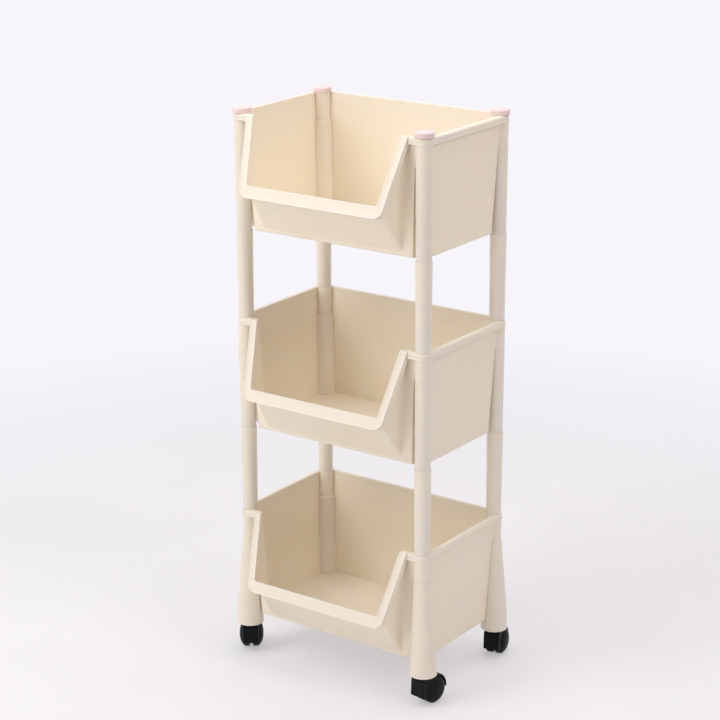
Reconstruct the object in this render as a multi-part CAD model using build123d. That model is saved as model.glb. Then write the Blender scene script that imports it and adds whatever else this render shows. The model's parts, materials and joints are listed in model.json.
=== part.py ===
from build123d import *
import os
from math import cos, radians, sin, sqrt

# Rolling storage cart: three open-front baskets on four corner posts with casters.
# Millimetres. X runs to the right, Y to the back, Z up.
# The origin is on the floor, midway between the four post axes.

# Post layout
post_pitch_x = 300.0
post_pitch_y = 185.4

# Stack heights, from the floor up
foot_height = 140.0
sleeve_drop = 31.65
rim_height = 9.3
tube_length = 124.75
tubes_per_gap = 2
basket_count = 3

# Joint between stacked post pieces: a spigot below fits the socket above it
spigot_radius = 9.3
spigot_length = 14.0
spigot_tip_bore = 7.3
socket_clearance = 0.1
socket_depth = 16.0

# Basket tub
wall = 2.0
basket_depth = 155.7
tub_spread_rim = 6.6
tub_spread_floor = 0.0
floor_edge_radius = 4.0

# Basket rim, a plate with a folded skirt all round
rim_spread = 12.0
rim_skirt_wall = 1.8
rim_edge_radius = 3.2
rim_bead_height = 1.6
rim_bead_stand = 0.8

# Corner sleeves and the flutes that clear the posts of the basket below
sleeve_rim_radius = 11.9
sleeve_end_radius = 11.3
flute_end_radius = 12.5
flute_floor_radius = 18.1

# Front scoop: its opening lies in a plane that leans forward from the rim
scoop_lean = 21.5
opening_inset_rim = 28.6
opening_inset_low = 42.5
opening_drop = 89.0
crease_inset_low = 35.4
scoop_rise = 7.0
ridge_radius = 3.5
crease_radius = 4.0

# Band round the scoop opening
band_stand = 0.7
band_side_width = 10.7
band_low_width = 16.3
band_corner_radius = 15.0
band_skirt_depth = 9.0
band_skirt_wall = 1.8
band_bead_width = 1.6
band_bead_stand = 0.6

# Post tube
tube_mouth_radius = 11.7
tube_end_radius = 10.7

# Foot, flared and leaning outward so that the caster stands clear of the basket
foot_mouth_radius = 12.0
foot_ring_radius = 17.9
foot_base_radius = 19.3
foot_skirt_height = 33.5
foot_skirt_step = 0.3
foot_lean_x = 3.3
foot_lean_y = 0.8
foot_wall = 2.2
foot_mouth_depth = 20.0
foot_web = 2.0
foot_boss_radius = 8.2
foot_boss_recess = 3.0
foot_boss_height = 36.0
foot_rib_thickness = 1.6

# Post cap
cap_radius = 13.2
cap_height = 7.4
cap_edge_radius = 2.2
cap_plug_length = 10.0
cap_plug_wall = 1.8

# Caster socket, pressed into the foot boss
insert_radius = 6.0
insert_length = 32.0
insert_flange_radius = 8.0
insert_flange_thickness = 1.4
insert_fit = 0.02
snap_from_top = 5.0
snap_length = 2.0
snap_height = 0.5

# Caster stem
stem_radius = 4.0
stem_clearance = 0.05
stem_collar_radius = 6.5
stem_tip_chamfer = 0.8
thrust_clearance = 0.3

# Caster hood and wheels
wheel_radius = 20.0
wheel_tread_width = 7.2
wheel_dome_width = 7.4
wheel_shoulder_inset = 3.0
wheel_shoulder_rise = 2.9
wheel_crown_inset = 7.0
wheel_crown_rise = 5.6
wheel_hub_radius = 6.5
wheel_side_gap = 0.3
caster_trail = 14.5
web_thickness = 5.0
web_hub_radius = 5.2
hood_width = 24.0
hood_guard_gap = 0.9
hood_guard_wall = 2.1
hood_crown_rise = 3.4
hood_boss_rise = 1.6
hood_foot_gap = 1.0
hood_boss_radius = 7.5
hood_nose_reach = 14.5
hood_nose_tilt = 1.6
hood_nose_low = 15.5
hood_tail_low = 18.5
hood_nose_radius = 7.0
hood_edge_radius = 2.4
axle_radius = 2.0
axle_clearance = 0.06
axle_end_cover = 3.0

# Rest heading of each caster, the way its wheels trail behind the stem, from +X
heading_front_right = 82.0
heading_front_left = 125.0
heading_back_right = 105.0
heading_back_left = 107.0

# Sizes that follow from those above
post_x = post_pitch_x / 2
post_y = post_pitch_y / 2
socket_radius = spigot_radius + socket_clearance
basket_pitch = rim_height + sleeve_drop + tubes_per_gap * tube_length
wheel_inner = web_thickness / 2 + wheel_side_gap
hood_crown = 2 * wheel_radius + hood_crown_rise
hood_top = hood_crown + hood_boss_rise
caster_height = hood_top + hood_foot_gap
foot_top = caster_height + foot_height
first_rim = foot_top + sleeve_drop
wheel_well = wheel_radius + hood_guard_gap
stem_x = post_x + foot_lean_x
stem_y = post_y + foot_lean_y
OVER = 1.0


def corner_places():
    """Name, x sign and y sign of the four corners."""
    return (
        ("front_left", -1, -1),
        ("front_right", 1, -1),
        ("back_right", 1, 1),
        ("back_left", -1, 1),
    )


def at_posts(solid):
    """One copy of a solid on each of the four post axes."""
    return [Pos(sx * post_x, sy * post_y, 0) * solid for _, sx, sy in corner_places()]


def turned(points):
    """Solid of revolution about Z from a closed outline of (radius, height) points."""
    outline = Polyline(*[(r, 0, z) for r, z in points], close=True)
    return revolve(make_face(outline), axis=Axis.Z)


def taper(low_radius, high_radius, low_z, high_z):
    """Round taper on Z between two heights."""
    height = high_z - low_z
    solid = Cone(low_radius, high_radius, height, align=(Align.CENTER, Align.CENTER, Align.MIN))
    return Pos(0, 0, low_z) * solid


def pillar(radius, low_z, high_z):
    """Cylinder on Z between two heights."""
    solid = Cylinder(radius, high_z - low_z, align=(Align.CENTER, Align.CENTER, Align.MIN))
    return Pos(0, 0, low_z) * solid


# Basket, in its own frame: Z = 0 at the lower edge of the rim


def tub_spread(z):
    """How far the tub's outer face stands outside the post axes at a height."""
    share = (z + basket_depth) / (rim_height + basket_depth)
    return tub_spread_floor + (tub_spread_rim - tub_spread_floor) * share


def tub_block(inset, low_z, high_z):
    """Tapered block inside the four tub walls, each face moved inward by inset."""
    sections = []
    for z in (low_z, high_z):
        spread = tub_spread(z) - inset
        section = Rectangle(2 * (post_x + spread), 2 * (post_y + spread))
        sections.append(Pos(0, 0, z) * section)
    return loft(sections)


def band_plane():
    """Plane of the scoop opening. Its Y runs up the slope, from the rim's top edge."""
    lean = radians(scoop_lean)
    start = (0, -(post_y + rim_spread + band_stand), rim_height)
    return Plane(origin=start, x_dir=(1, 0, 0), z_dir=(0, -cos(lean), sin(lean)))


def opening_points():
    """Right-hand corners of the opening, at the rim and at its lower edge, in the band plane."""
    slope_length = opening_drop / cos(radians(scoop_lean))
    return (
        (post_x - opening_inset_rim, 0),
        (post_x - opening_inset_low, -slope_length),
    )


def scoop_planes():
    """Inner faces of the scoop: right side, left side and front, each facing outward."""
    high, low = (band_plane().from_local_coords((x, y, 0)) for x, y in opening_points())
    foot_z = -basket_depth + scoop_rise
    foot_y = -(post_y + tub_spread(foot_z) - wall)
    foot = Vector(post_x - crease_inset_low, foot_y, foot_z)
    side_normal = (low - high).cross(foot - high)
    right = Plane(origin=high, z_dir=side_normal)
    left = Plane(
        origin=(-high.X, high.Y, high.Z),
        z_dir=(-side_normal.X, side_normal.Y, side_normal.Z),
    )
    front_normal = Vector(1, 0, 0).cross(low - foot - Vector(low.X - foot.X, 0, 0))
    front = Plane(origin=foot, z_dir=front_normal)
    return right, left, front


def lies_in(edge, plane):
    """Whether both ends of an edge lie in a plane."""
    return all(abs(plane.to_local_coords(v.center()).Z) < 1e-3 for v in edge.vertices())


def scoop_block(outward, low_z, high_z, edge_radius):
    """Block inside the scoop's three faces, each moved outward, with rounded ridges."""
    depth = post_y + rim_spread + basket_depth
    block = Pos(0, -depth / 2, (low_z + high_z) / 2) * Box(2 * post_x, depth, high_z - low_z)
    right, left, front = (plane.offset(outward) for plane in scoop_planes())
    for plane in (right, left, front):
        block = split(block, bisect_by=plane, keep=Keep.BOTTOM)
    ridges = block.edges().filter_by(
        lambda edge: lies_in(edge, front) and (lies_in(edge, right) or lies_in(edge, left))
    )
    return fillet(ridges, edge_radius)


def opening_outline(margin_side, margin_low, corner_radius):
    """Scoop outline in the band plane, wider than the opening, open past the rim."""
    (high_x, high_y), (low_x, low_y) = opening_points()
    run_in = (high_x - low_x) / (high_y - low_y)
    past = rim_height
    bottom = low_y - margin_low
    top_half = high_x + margin_side + run_in * past
    low_half = low_x + margin_side - run_in * margin_low
    corners = ((-low_half, bottom), (low_half, bottom), (top_half, past), (-top_half, past))
    face = make_face(Polyline(*corners, close=True))
    low_corners = face.vertices().sort_by(Axis.Y)[:2]
    return fillet(low_corners, corner_radius)


def scoop_band():
    """Flat band in the opening's plane, a raised bead along each edge and a folded skirt."""
    plane = band_plane()
    whole = opening_outline(band_side_width, band_low_width, band_corner_radius)
    inside_bead = offset(whole, -band_bead_width)
    inside_skirt = offset(whole, -band_skirt_wall)
    inner_bead = opening_outline(band_bead_width, band_bead_width, ridge_radius + band_bead_width)
    plate = extrude(plane * whole, -wall)
    outer_bead = extrude(plane * (whole - inside_bead), band_bead_stand)
    skirt = extrude(plane * (whole - inside_skirt), -band_skirt_depth)
    inner_bead = extrude(plane * inner_bead, band_bead_stand)
    band = plate + outer_bead + skirt + inner_bead
    return split(band, bisect_by=Plane.XY.offset(rim_height), keep=Keep.BOTTOM)


def rim_slab(spread, low_z, high_z):
    """Slab with the rim's plan, its corners round the post axes."""
    plan = RectangleRounded(2 * (post_x + spread), 2 * (post_y + spread), spread)
    return Pos(0, 0, low_z) * extrude(plan, high_z - low_z)


def rim_body():
    """Rim seen from outside: rounded top edge, flat face, lower bead, hollow from below."""
    face = rim_slab(rim_spread, 0, rim_height)
    face = fillet(face.faces().sort_by(Axis.Z)[-1].edges(), rim_edge_radius)
    bead = rim_slab(rim_spread + rim_bead_stand, 0, rim_bead_height)
    hollow = rim_slab(rim_spread - rim_skirt_wall, -OVER, rim_height - wall)
    rim = face + bead - hollow
    # The skirt stops where the scoop band takes over
    gap_half = opening_points()[0][0] + band_side_width - band_skirt_wall
    gap_depth = rim_spread
    gap = Box(2 * gap_half, gap_depth, rim_height - wall, align=(Align.CENTER, Align.MAX, Align.MIN))
    return rim - Pos(0, -(post_y + tub_spread_rim), 0) * gap


def tub_front(inset):
    """Plane of the tub's front face, moved inward by inset, facing outward."""
    slope = (tub_spread_rim - tub_spread_floor) / (rim_height + basket_depth)
    return Plane(origin=(0, -(post_y + tub_spread(0) - inset), 0), z_dir=(0, -1, -slope))


def soften_creases(body, inset, radius):
    """Round the line where the scoop leaves the tub's front face."""
    face = tub_front(inset)
    reach = post_x - opening_inset_rim + band_side_width
    crease = body.edges().filter_by(
        lambda edge: lies_in(edge, face)
        and abs(edge.center().X) < reach
        and rim_height - OVER > edge.center().Z > scoop_rise / 2 - basket_depth
    )
    return fillet(crease, radius)


def flute_radius(z):
    """Radius of the corner flute about the post axis at a height."""
    share = (-sleeve_drop - z) / (basket_depth - sleeve_drop)
    return flute_end_radius + (flute_floor_radius - flute_end_radius) * share


def flute(outward, low_z, high_z):
    """Tapered clearance round a post, moved outward by a wall."""
    return taper(flute_radius(low_z) + outward, flute_radius(high_z) + outward, low_z, high_z)


def make_basket():
    """One basket: tub, scoop, rim, band, corner sleeves and flutes in one moulding."""
    floor_low = -basket_depth
    floor_high = floor_low + wall
    sleeve_low = -sleeve_drop
    tub = tub_block(0, floor_low, rim_height)
    tub = fillet(tub.faces().sort_by(Axis.Z)[0].edges(), floor_edge_radius)
    scoop = scoop_block(wall, floor_low, rim_height, ridge_radius + wall)
    scoop = split(scoop, bisect_by=band_plane(), keep=Keep.BOTTOM)
    body = soften_creases(tub + scoop, 0, crease_radius)
    body = body + rim_body() + scoop_band()
    flutes = at_posts(flute(0, floor_low - OVER, sleeve_low))
    body = body - flutes

    sleeve_top = rim_height - rim_edge_radius
    sleeve = taper(sleeve_end_radius, sleeve_rim_radius, sleeve_low, sleeve_top)
    spigot = pillar(spigot_radius, sleeve_low - spigot_length, sleeve_low)
    body = body + at_posts(sleeve) + at_posts(spigot)

    cavity = tub_block(wall, floor_high, rim_height + OVER)
    cavity = fillet(cavity.faces().sort_by(Axis.Z)[0].edges(), floor_edge_radius - wall)
    cavity = cavity + scoop_block(0, floor_high, rim_height + OVER, ridge_radius)
    cavity = soften_creases(cavity, wall, crease_radius + wall)
    column = pillar(sleeve_rim_radius, sleeve_low, rim_height + 2 * OVER)
    inner_flute = flute(wall, floor_low, sleeve_low + wall)
    cavity = cavity - at_posts(column) - at_posts(inner_flute)

    socket = pillar(socket_radius, rim_height - socket_depth, rim_height + OVER)
    drain = pillar(spigot_tip_bore, sleeve_low - spigot_length - OVER, rim_height)
    return body - cavity - at_posts(socket) - at_posts(drain)


def make_tube():
    """Post tube on Z: Z = 0 at the shoulder that rests on the piece below."""
    return turned(
        (
            (tube_end_radius, 0),
            (tube_mouth_radius, tube_length),
            (socket_radius, tube_length),
            (socket_radius, 0),
            (spigot_tip_bore, 0),
            (spigot_tip_bore, -spigot_length),
            (spigot_radius, -spigot_length),
            (spigot_radius, 0),
        )
    )


def foot_form(inset, top_z):
    """The back right foot's leaning column on its straight skirt, moved inward by inset."""
    ring_z = caster_height + foot_skirt_height
    lean = Vector(foot_lean_x, foot_lean_y, ring_z - foot_top)
    flare = (foot_ring_radius - foot_mouth_radius) / lean.length
    top_radius = foot_mouth_radius - inset - flare * OVER
    low_radius = foot_ring_radius - inset + flare * OVER
    column = Cone(top_radius, low_radius, lean.length + 2 * OVER)
    column = Plane(origin=Vector(0, 0, foot_top) + lean * 0.5, z_dir=lean) * column
    column = split(column, bisect_by=Plane.XY.offset(top_z), keep=Keep.BOTTOM)
    column = split(column, bisect_by=Plane.XY.offset(ring_z - foot_skirt_step), keep=Keep.TOP)
    skirt_top = foot_ring_radius + foot_skirt_step - inset
    skirt = taper(foot_base_radius - inset, skirt_top, caster_height, ring_z)
    return column + Pos(foot_lean_x, foot_lean_y, 0) * skirt


def make_foot():
    """Back right foot on its post axis, open below round a ribbed boss."""
    hollow = foot_form(foot_wall, foot_top - foot_mouth_depth - foot_web)
    boss_low = caster_height + foot_boss_recess
    boss_high = boss_low + foot_boss_height
    rib_box = Box(
        2 * foot_base_radius,
        foot_rib_thickness,
        foot_boss_height,
        align=(Align.CENTER, Align.CENTER, Align.MIN),
    )
    rib = Pos(0, 0, boss_low) * rib_box
    boss = pillar(foot_boss_radius, boss_low, boss_high) + rib + Rot(0, 0, 90) * rib
    stem_place = Pos(foot_lean_x, foot_lean_y, 0)
    hollow = hollow - stem_place * boss

    mouth = pillar(socket_radius, foot_top - foot_mouth_depth, foot_top + OVER)
    bore = pillar(insert_radius + insert_fit, boss_low - OVER, boss_low + insert_length + OVER)
    return foot_form(0, foot_top) - hollow - mouth - stem_place * bore


def make_cap():
    """Cap on Z: Z = 0 where its flange rests on the rim."""
    cap = turned(
        (
            (0, -cap_plug_length),
            (spigot_radius, -cap_plug_length),
            (spigot_radius, 0),
            (cap_radius, 0),
            (cap_radius, cap_height),
            (0, cap_height),
        )
    )
    cap = fillet(cap.faces().sort_by(Axis.Z)[-1].edges(), cap_edge_radius)
    return cap - pillar(spigot_radius - cap_plug_wall, -cap_plug_length - OVER, 0)


# Casters, each in its own frame: the stem on Z, the wheels trailing towards +X


def insert_low():
    """Height of the underside of the caster socket's flange."""
    return caster_height + foot_boss_recess - insert_flange_thickness


def make_insert():
    """Plastic socket in the foot boss, with a flange below and a snap ring inside."""
    low = insert_low()
    shoulder = low + insert_flange_thickness
    top = shoulder + insert_length
    bore = stem_radius + stem_clearance
    ring = bore - snap_height
    ring_high = top - snap_from_top
    ring_low = ring_high - snap_length
    return turned(
        (
            (bore, low),
            (insert_flange_radius, low),
            (insert_flange_radius, shoulder),
            (insert_radius, shoulder),
            (insert_radius, top),
            (bore, top),
            (bore, ring_high),
            (ring, ring_high),
            (ring, ring_low),
            (bore, ring_low),
        )
    )


def stem_seat():
    """Height of the stem's lower end in the hood, just above both wheel wells."""
    web_reach = sqrt(stem_radius**2 - (web_thickness / 2) ** 2)
    return wheel_radius + sqrt(wheel_well**2 - (caster_trail - web_reach) ** 2)


def make_stem():
    """Steel stem with a collar on the hood and a groove round the socket's snap ring."""
    top = insert_low() + insert_flange_thickness + insert_length
    groove = stem_radius - snap_height
    groove_high = top - snap_from_top + thrust_clearance
    groove_low = top - snap_from_top - snap_length - thrust_clearance
    collar_high = insert_low() - thrust_clearance
    return turned(
        (
            (0, stem_seat()),
            (stem_radius, stem_seat()),
            (stem_radius, hood_top),
            (stem_collar_radius, hood_top),
            (stem_collar_radius, collar_high),
            (stem_radius, collar_high),
            (stem_radius, groove_low),
            (groove, groove_low),
            (groove, groove_high),
            (stem_radius, groove_high),
            (stem_radius, top - stem_tip_chamfer),
            (stem_radius - stem_tip_chamfer, top),
            (0, top),
        )
    )


def on_axle(solid):
    """A solid made on Z moved so that its axis is the caster's axle, Z turned to +Y."""
    return Pos(caster_trail, 0, wheel_radius) * Rot(-90, 0, 0) * solid


def make_hood():
    """Hood: guard over both wheels, nose ahead of them, central web and stem boss."""
    guard_outer = wheel_well + hood_guard_wall
    half = hood_width / 2
    crown = on_axle(pillar(guard_outer, -half, half))
    nose_points = (
        (-hood_nose_reach, 0),
        (-hood_nose_reach + hood_nose_tilt, hood_crown),
        (caster_trail, hood_crown),
        (caster_trail, 0),
    )
    nose_side = make_face(Polyline(*[(x, 0, z) for x, z in nose_points], close=True))
    nose = extrude(nose_side, half, both=True)
    front = nose.faces().sort_by(Axis.X)[0]
    nose = fillet(front.edges().filter_by(Axis.Y).sort_by(Axis.Z)[-1], hood_nose_radius)
    body = crown + nose
    tail_x = caster_trail + guard_outer
    cut = Plane(
        origin=(-hood_nose_reach, 0, hood_nose_low),
        x_dir=(0, 1, 0),
        z_dir=(hood_nose_low - hood_tail_low, 0, tail_x + hood_nose_reach),
    )
    body = split(body, bisect_by=cut, keep=Keep.TOP)
    side_edges = body.faces().filter_by(Axis.Y).edges()
    outline_edges = side_edges.filter_by(lambda edge: not lies_in(edge, cut))
    body = fillet(outline_edges, hood_edge_radius)

    body = body + pillar(hood_boss_radius, hood_crown - OVER, hood_top)
    well = pillar(wheel_well, web_thickness / 2, half + OVER)
    body = body - on_axle(well) - on_axle(mirror(well, about=Plane.XY))
    body = body + on_axle(pillar(web_hub_radius, -web_thickness / 2, web_thickness / 2))
    body = body - pillar(stem_radius, stem_seat(), hood_top + OVER)
    return body - on_axle(pillar(axle_radius, -half, half))


def make_axle():
    """Steel axle through the web, one end in each wheel."""
    reach = wheel_inner + wheel_tread_width + wheel_dome_width - axle_end_cover - wheel_side_gap
    return on_axle(pillar(axle_radius, -reach, reach))


def make_wheel():
    """Wheel on the +Y end of the axle: flat tread, domed outer face, blind bore."""
    tread_end = wheel_inner + wheel_tread_width
    face = tread_end + wheel_dome_width
    bore = axle_radius + axle_clearance
    wheel = turned(
        (
            (bore, wheel_inner),
            (wheel_radius, wheel_inner),
            (wheel_radius, tread_end),
            (wheel_radius - wheel_shoulder_inset, tread_end + wheel_shoulder_rise),
            (wheel_radius - wheel_crown_inset, tread_end + wheel_crown_rise),
            (wheel_hub_radius, face),
            (0, face),
            (0, face - axle_end_cover),
            (bore, face - axle_end_cover),
        )
    )
    return on_axle(wheel)


def write(solid, name):
    """Write one sub-part under its own name."""
    solid.label = name
    export_step(solid, f"parts/{name}.step")


def write_posts(rim_z, gap):
    """The tubes that stand on one basket and carry the next."""
    tube = make_tube()
    for corner, sx, sy in corner_places():
        for step in range(tubes_per_gap):
            base = rim_z + rim_height + step * tube_length
            place = Pos(sx * post_x, sy * post_y, base)
            write(place * tube, f"tube_{gap}_{corner}_{step + 1}")


os.makedirs("parts", exist_ok=True)

basket = make_basket()
for level, level_name in enumerate(("bottom", "middle", "top")):
    write(Pos(0, 0, first_rim + level * basket_pitch) * basket, f"basket_{level_name}")
for level, gap_name in enumerate(("lower", "upper")):
    write_posts(first_rim + level * basket_pitch, gap_name)

cap = make_cap()
foot = make_foot()
insert = make_insert()
stem = make_stem()
hood = make_hood()
axle = make_axle()
wheel = make_wheel()
top_of_rim = first_rim + (basket_count - 1) * basket_pitch + rim_height

headings = {
    "front_right": heading_front_right,
    "front_left": heading_front_left,
    "back_right": heading_back_right,
    "back_left": heading_back_left,
}
for corner_name, side_x, side_y in corner_places():
    post = Pos(side_x * post_x, side_y * post_y, 0)
    write(Pos(0, 0, top_of_rim) * post * cap, f"cap_{corner_name}")
    turned_foot = foot if side_x > 0 else mirror(foot, about=Plane.YZ)
    turned_foot = turned_foot if side_y > 0 else mirror(turned_foot, about=Plane.XZ)
    write(post * turned_foot, f"foot_{corner_name}")
    place = Pos(side_x * stem_x, side_y * stem_y, 0)
    heading = place * Rot(0, 0, headings[corner_name])
    write(place * insert, f"caster_{corner_name}_socket")
    write(heading * stem, f"caster_{corner_name}_stem")
    write(heading * hood, f"caster_{corner_name}_hood")
    write(heading * axle, f"caster_{corner_name}_axle")
    write(heading * wheel, f"caster_{corner_name}_wheel_a")
    write(heading * mirror(wheel, about=Plane.XZ), f"caster_{corner_name}_wheel_b")
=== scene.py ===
import json
from math import cos, radians, sin

import bmesh
import bpy
from mathutils import Matrix, Vector

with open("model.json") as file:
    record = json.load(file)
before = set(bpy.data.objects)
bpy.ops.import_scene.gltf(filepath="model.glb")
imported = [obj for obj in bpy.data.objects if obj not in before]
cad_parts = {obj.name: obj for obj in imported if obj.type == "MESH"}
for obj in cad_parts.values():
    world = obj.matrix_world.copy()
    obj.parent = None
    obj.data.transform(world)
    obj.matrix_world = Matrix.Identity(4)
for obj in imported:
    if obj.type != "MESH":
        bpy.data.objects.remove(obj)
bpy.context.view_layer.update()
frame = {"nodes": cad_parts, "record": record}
nodes = frame["nodes"]


# Camera: the photograph's viewpoint, worked out from the posts and baskets, in metres and degrees

CAMERA_PLACE = Vector((1.6117, -2.2945, 1.3547))
CAMERA_AZIMUTH = 35.41
CAMERA_PITCH = 17.805
CAMERA_ROLL = -0.23
CAMERA_LENS = 104.09
SENSOR_WIDTH = 36.0


def make_camera():
    """The camera, with its own right, up and back directions as the columns of its rotation."""
    azimuth, pitch, roll = (radians(x) for x in (CAMERA_AZIMUTH, CAMERA_PITCH, CAMERA_ROLL))
    back = Vector((sin(azimuth) * cos(pitch), -cos(azimuth) * cos(pitch), sin(pitch)))
    level_right = Vector((0, 0, 1)).cross(back).normalized()
    level_up = back.cross(level_right)
    right = cos(roll) * level_right + sin(roll) * level_up
    up = cos(roll) * level_up - sin(roll) * level_right
    data = bpy.data.cameras.new("camera")
    data.sensor_width = SENSOR_WIDTH
    data.lens = CAMERA_LENS
    camera = bpy.data.objects.new("camera", data)
    turn = Matrix((right, up, back)).transposed().to_4x4()
    camera.matrix_world = Matrix.Translation(CAMERA_PLACE) @ turn
    bpy.context.scene.collection.objects.link(camera)
    bpy.context.scene.camera = camera


# Lights: each is (place, size, power, colour), aimed at the middle of the cart

AIM = Vector((0, 0, 0.42))
LAMPS = {
    "key": ((-0.9, -1.45, 2.0), 1.1, 17.5, (1.0, 0.99, 0.98)),
    "side": ((2.2, -0.2, 2.3), 0.8, 12.5, (1.0, 0.955, 0.97)),
    "top": ((0.0, 0.3, 2.4), 1.8, 19.5, (1.0, 1.0, 0.99)),
    "front": ((-0.8, -2.1, 0.95), 1.0, 7.5, (1.0, 0.99, 0.97)),
}
WORLD_STRENGTH = 0.4
WORLD_COLOUR = (1.0, 0.915, 0.975)
BACKGROUND_COLOUR = (0.93, 0.915, 0.955)


def make_lamps():
    """Soft square lamps round the cart."""
    for name, (place, size, power, colour) in LAMPS.items():
        data = bpy.data.lights.new(name, "AREA")
        data.size = size
        data.energy = power
        data.color = colour
        lamp = bpy.data.objects.new(name, data)
        lamp.location = place
        lamp.rotation_mode = "QUATERNION"
        lamp.rotation_quaternion = (AIM - Vector(place)).to_track_quat("-Z", "Y")
        bpy.context.scene.collection.objects.link(lamp)


def make_world():
    """Even light from all round; the camera and glossy surfaces see the pale background."""
    world = bpy.data.worlds.new("studio")
    bpy.context.scene.world = world
    world.use_nodes = True
    tree = world.node_tree
    tree.nodes.clear()
    path = tree.nodes.new("ShaderNodeLightPath")
    seen = tree.nodes.new("ShaderNodeBackground")
    seen.inputs["Color"].default_value = (*BACKGROUND_COLOUR, 1)
    light = tree.nodes.new("ShaderNodeBackground")
    light.inputs["Color"].default_value = (*WORLD_COLOUR, 1)
    light.inputs["Strength"].default_value = WORLD_STRENGTH
    either = tree.nodes.new("ShaderNodeMath")
    either.operation = "MAXIMUM"
    tree.links.new(path.outputs["Is Camera Ray"], either.inputs[0])
    tree.links.new(path.outputs["Is Glossy Ray"], either.inputs[1])
    any_seen = tree.nodes.new("ShaderNodeMath")
    any_seen.operation = "MAXIMUM"
    tree.links.new(either.outputs[0], any_seen.inputs[0])
    tree.links.new(path.outputs["Is Transmission Ray"], any_seen.inputs[1])
    mix = tree.nodes.new("ShaderNodeMixShader")
    out = tree.nodes.new("ShaderNodeOutputWorld")
    tree.links.new(any_seen.outputs[0], mix.inputs[0])
    tree.links.new(light.outputs[0], mix.inputs[1])
    tree.links.new(seen.outputs[0], mix.inputs[2])
    tree.links.new(mix.outputs[0], out.inputs[0])


# Materials


class Look:
    """A material with one Principled shader, and short ways to add nodes to it."""

    def __init__(self, name):
        self.material = bpy.data.materials.new(name)
        self.material.use_nodes = True
        self.tree = self.material.node_tree
        self.shader = next(n for n in self.tree.nodes if n.type == "BSDF_PRINCIPLED")
        self.place = self.tree.nodes.new("ShaderNodeTexCoord").outputs["Object"]

    def set(self, **values):
        """Constant values on the shader's own sockets; an underscore stands for a space."""
        for key, value in values.items():
            self.shader.inputs[key.replace("_", " ")].default_value = value

    def node(self, kind, inputs=(), **settings):
        """A new node with its settings and its inputs, each a value or another node's output."""
        node = self.tree.nodes.new("ShaderNode" + kind)
        for key, value in settings.items():
            setattr(node, key, value)
        for key, value in dict(inputs).items():
            if isinstance(value, bpy.types.NodeSocket):
                self.tree.links.new(value, node.inputs[key])
            else:
                node.inputs[key].default_value = value
        return node

    def noise(self, scale, detail=2.0, roughness=0.5, stretch=(1, 1, 1)):
        """Noise from 0 to 1 with features about 1/scale metres wide, squeezed along stretch."""
        spread = self.node("Mapping", {"Vector": self.place, "Scale": stretch}).outputs[0]
        values = {"Vector": spread, "Scale": scale, "Detail": detail, "Roughness": roughness}
        return self.node("TexNoise", values).outputs["Fac"]

    def remap(self, value, low, high, to_low, to_high):
        """value from low..high brought to to_low..to_high, held at both ends."""
        inputs = {
            "Value": value,
            "From Min": low,
            "From Max": high,
            "To Min": to_low,
            "To Max": to_high,
        }
        return self.node("MapRange", inputs).outputs["Result"]

    def blend(self, factor, first, second):
        """A colour between first and second."""
        node = self.node("Mix", data_type="RGBA")
        for key, value in (("Factor", factor), ("A", first), ("B", second)):
            socket = next(s for s in node.inputs if s.name == key and s.enabled)
            if isinstance(value, bpy.types.NodeSocket):
                self.tree.links.new(value, socket)
            else:
                socket.default_value = value if key == "Factor" else (*value, 1)
        return next(s for s in node.outputs if s.enabled)

    def bump(self, height, distance, normal=None):
        """Relief of a given depth in metres, laid over another normal."""
        inputs = {"Height": height, "Distance": distance, "Strength": 1.0}
        if normal is not None:
            inputs["Normal"] = normal
        return self.node("Bump", inputs).outputs["Normal"]

    def connect(self, socket, value):
        """An output carried to one of the shader's sockets."""
        self.tree.links.new(value, self.shader.inputs[socket])


# Detail that the moulded plastics share: sizes in metres, scales as features per metre

DRIFT_SCALE = 9.0
FLOW_SCALE = 4.0
FLOW_STRETCH = (1, 1, 6)
WAVE_SCALE = 22.0
WAVE_DEPTH = 0.00025
EDGE_RADIUS = 0.0003
# Whitened edges: partly real edge wear, partly a painted highlight along rounded edges and lips
WEAR_AND_HIGHLIGHT_RADIUS = 0.0018
WEAR_AND_HIGHLIGHT_TURN = (0.985, 0.90)
WEAR_AND_HIGHLIGHT_SHARE = 1.0
PATCH_SCALE = 35.0
PATCH_LEAST = 0.5
# Painted shade: colour darkened and warmed where ambient occlusion finds a crease, recess or
# joint close by
CREASE_REACH = 0.003
CREASE_OPEN = (0.35, 0.85)
CREASE_SHADE = (0.90, 0.81, 0.68)
GLOSS_SPREAD = (-0.05, 0.07)


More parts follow.
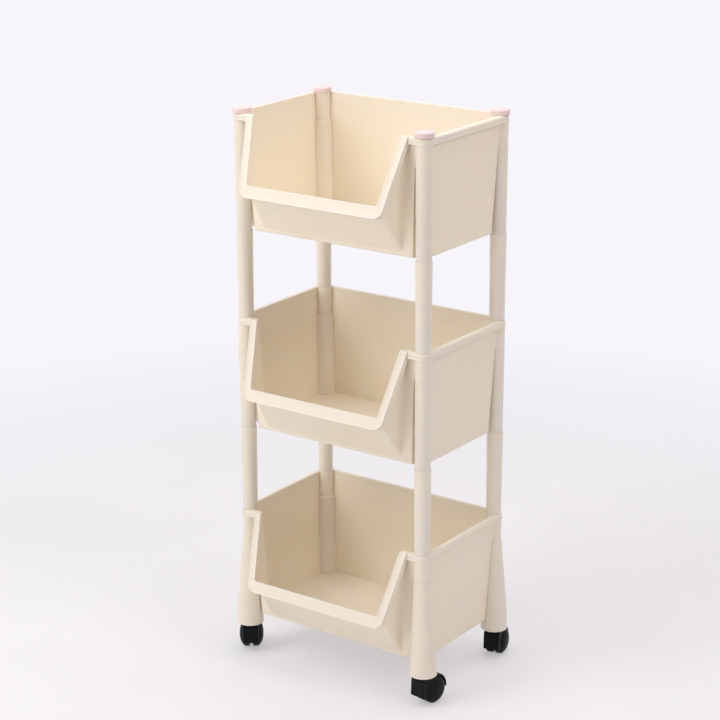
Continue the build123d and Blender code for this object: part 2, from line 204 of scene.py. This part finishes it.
def moulded(name, light, dark, worn_and_highlight, gloss, grain_scale, grain_depth):
    """Colour drift, whitened edges that are partly wear and partly a painted highlight, painted
    shade in creases, eggshell grain, slow waves and soft edges.
    """
    look = Look(name)
    drift = look.noise(DRIFT_SCALE, detail=3.0)
    flow = look.noise(FLOW_SCALE, detail=4.0, stretch=FLOW_STRETCH)
    mixed = look.remap(drift, 0.3, 0.7, 0.0, 1.0)
    # Whitened edges: a bevel mask lightens the colour at edges, partly wear and partly a painted
    # highlight
    wide = look.node("Bevel", {"Radius": WEAR_AND_HIGHLIGHT_RADIUS}, samples=4).outputs[0]
    flat = look.node("NewGeometry").outputs["Normal"]
    turn = look.node("VectorMath", {0: wide, 1: flat}, operation="DOT_PRODUCT").outputs["Value"]
    edge = look.remap(turn, *WEAR_AND_HIGHLIGHT_TURN, 0.0, WEAR_AND_HIGHLIGHT_SHARE)
    patches = look.noise(PATCH_SCALE, detail=3.0)
    patchy = look.remap(patches, 0.3, 0.6, PATCH_LEAST, 1.0)
    wear_and_highlight = look.node("Math", {0: edge, 1: patchy}, operation="MULTIPLY").outputs[0]
    surface = look.blend(wear_and_highlight, look.blend(mixed, light, dark), worn_and_highlight)
    # Painted shade: ambient occlusion darkens the colour in creases, under lips and between parts
    reach = look.node("AmbientOcclusion", {"Distance": CREASE_REACH}, samples=6).outputs["AO"]
    crease_shade_mask = look.remap(reach, *CREASE_OPEN, 1.0, 0.0)
    painted_crease_shade = tuple(shade * c for shade, c in zip(CREASE_SHADE, dark))
    colour = look.blend(crease_shade_mask, surface, painted_crease_shade)
    look.connect("Base Color", colour)
    smoothest, roughest = (gloss + change for change in GLOSS_SPREAD)
    matt = look.remap(flow, 0.25, 0.75, smoothest, roughest)
    look.connect("Roughness", matt)
    edges = look.node("Bevel", {"Radius": EDGE_RADIUS}, samples=4).outputs[0]
    waves = look.bump(look.noise(WAVE_SCALE, detail=1.0), WAVE_DEPTH, edges)
    grain = look.bump(look.noise(grain_scale, detail=2.0, roughness=0.6), grain_depth, waves)
    look.connect("Normal", grain)
    return look


def ivory_plastic():
    """Warm ivory polypropylene of the baskets, posts and feet: satin and a little translucent."""
    look = moulded(
        "ivory_plastic",
        light=(0.915, 0.832, 0.70),
        dark=(0.90, 0.812, 0.672),
        worn_and_highlight=(1.0, 0.98, 0.94),
        gloss=0.42,
        grain_scale=1500.0,
        grain_depth=0.00001,
    )
    look.set(Subsurface_Weight=0.35, Subsurface_Radius=(1.0, 0.8, 0.4), Subsurface_Scale=0.004)
    look.set(IOR=1.49)
    return look.material


def pink_plastic():
    """Pale pink polypropylene of the post caps."""
    look = moulded(
        "pink_plastic",
        light=(0.88, 0.70, 0.68),
        dark=(0.86, 0.675, 0.655),
        worn_and_highlight=(0.92, 0.78, 0.76),
        gloss=0.40,
        grain_scale=1500.0,
        grain_depth=0.00001,
    )
    look.set(Subsurface_Weight=0.2, Subsurface_Radius=(1.0, 0.5, 0.4), Subsurface_Scale=0.003)
    look.set(IOR=1.49)
    return look.material


def black_nylon():
    """Black nylon of the caster hoods and sockets, with a spark-eroded texture."""
    look = moulded(
        "black_nylon",
        light=(0.004, 0.004, 0.0042),
        dark=(0.007, 0.007, 0.0073),
        worn_and_highlight=(0.03, 0.03, 0.031),
        gloss=0.42,
        grain_scale=2600.0,
        grain_depth=0.00002,
    )
    look.set(IOR=1.53, Specular_IOR_Level=0.1)
    return look.material


def wheel_nylon():
    """Black nylon of the wheels, duller than the hoods."""
    look = moulded(
        "wheel_nylon",
        light=(0.004, 0.004, 0.0042),
        dark=(0.009, 0.0088, 0.0085),
        worn_and_highlight=(0.025, 0.025, 0.025),
        gloss=0.48,
        grain_scale=2200.0,
        grain_depth=0.00003,
    )
    look.set(IOR=1.53, Specular_IOR_Level=0.1)
    return look.material


def plated_steel():
    """Zinc-plated steel of the stems and axles, turned all round."""
    look = Look("plated_steel")
    turning = look.noise(60.0, detail=3.0, stretch=(1, 1, 40))
    look.connect("Base Color", look.blend(turning, (0.55, 0.56, 0.58), (0.66, 0.66, 0.67)))
    look.connect("Roughness", look.remap(turning, 0.3, 0.7, 0.26, 0.40))
    look.connect("Normal", look.bump(turning, 0.00002))
    look.set(Metallic=1.0)
    return look.material


def dress_nodes():
    """Every CAD piece gets the material of its slot."""
    made = {
        "basket_plastic": ivory_plastic(),
        "cap_plastic": pink_plastic(),
        "socket_plastic": black_nylon(),
        "wheel_plastic": wheel_nylon(),
        "steel": plated_steel(),
    }
    made["hood_plastic"] = made["socket_plastic"]
    for part in frame["record"]["subparts"]:
        for slot in nodes[part["node"]].material_slots:
            slot.material = made[part["material_slot"]]


# Floor

FLOOR_RADIUS = 30.0
FLOOR_SIDES = 96
FLOOR_COLOUR = (0.93, 0.93, 0.935)
FLOOR_DARKEST = 0.95
FLOOR_LIFT = 0.42
FLOOR_FADE_START = 0.7
FLOOR_FADE_END = 1.6


def make_floor():
    """A wide pale floor: it takes the cart's shadow, and fades to the background further out."""
    mesh = bpy.data.meshes.new("floor")
    form = bmesh.new()
    bmesh.ops.create_circle(form, cap_ends=True, radius=FLOOR_RADIUS, segments=FLOOR_SIDES)
    form.to_mesh(mesh)
    form.free()
    floor = bpy.data.objects.new("floor", mesh)
    bpy.context.scene.collection.objects.link(floor)
    look = Look("floor")
    tone = look.remap(look.noise(3.0, detail=6.0), 0.35, 0.65, 0.0, 1.0)
    darker = tuple(FLOOR_DARKEST * c for c in FLOOR_COLOUR)
    look.connect("Base Color", look.blend(tone, FLOOR_COLOUR, darker))
    look.set(Roughness=0.75, Specular_IOR_Level=0.2)
    distance = look.node("VectorMath", {0: look.place}, operation="LENGTH").outputs["Value"]
    fade = look.remap(distance, FLOOR_FADE_START, FLOOR_FADE_END, FLOOR_LIFT, 1.0)
    path = look.node("LightPath").outputs
    either = {0: path["Is Camera Ray"], 1: path["Is Glossy Ray"]}
    seen = look.node("Math", either, operation="MAXIMUM").outputs[0]
    through = {0: seen, 1: path["Is Transmission Ray"]}
    any_seen = look.node("Math", through, operation="MAXIMUM").outputs[0]
    share = look.node("Math", {0: any_seen, 1: fade}, operation="MULTIPLY").outputs[0]
    glow = look.node("Emission", {"Color": (*BACKGROUND_COLOUR, 1)}).outputs[0]
    shown = look.node("MixShader", {0: share, 1: look.shader.outputs[0], 2: glow}).outputs[0]
    output = next(n for n in look.tree.nodes if n.type == "OUTPUT_MATERIAL")
    look.tree.links.new(shown, output.inputs["Surface"])
    mesh.materials.append(look.material)


bpy.context.scene.view_settings.view_transform = "Standard"
make_camera()
make_lamps()
make_world()
make_floor()
dress_nodes()
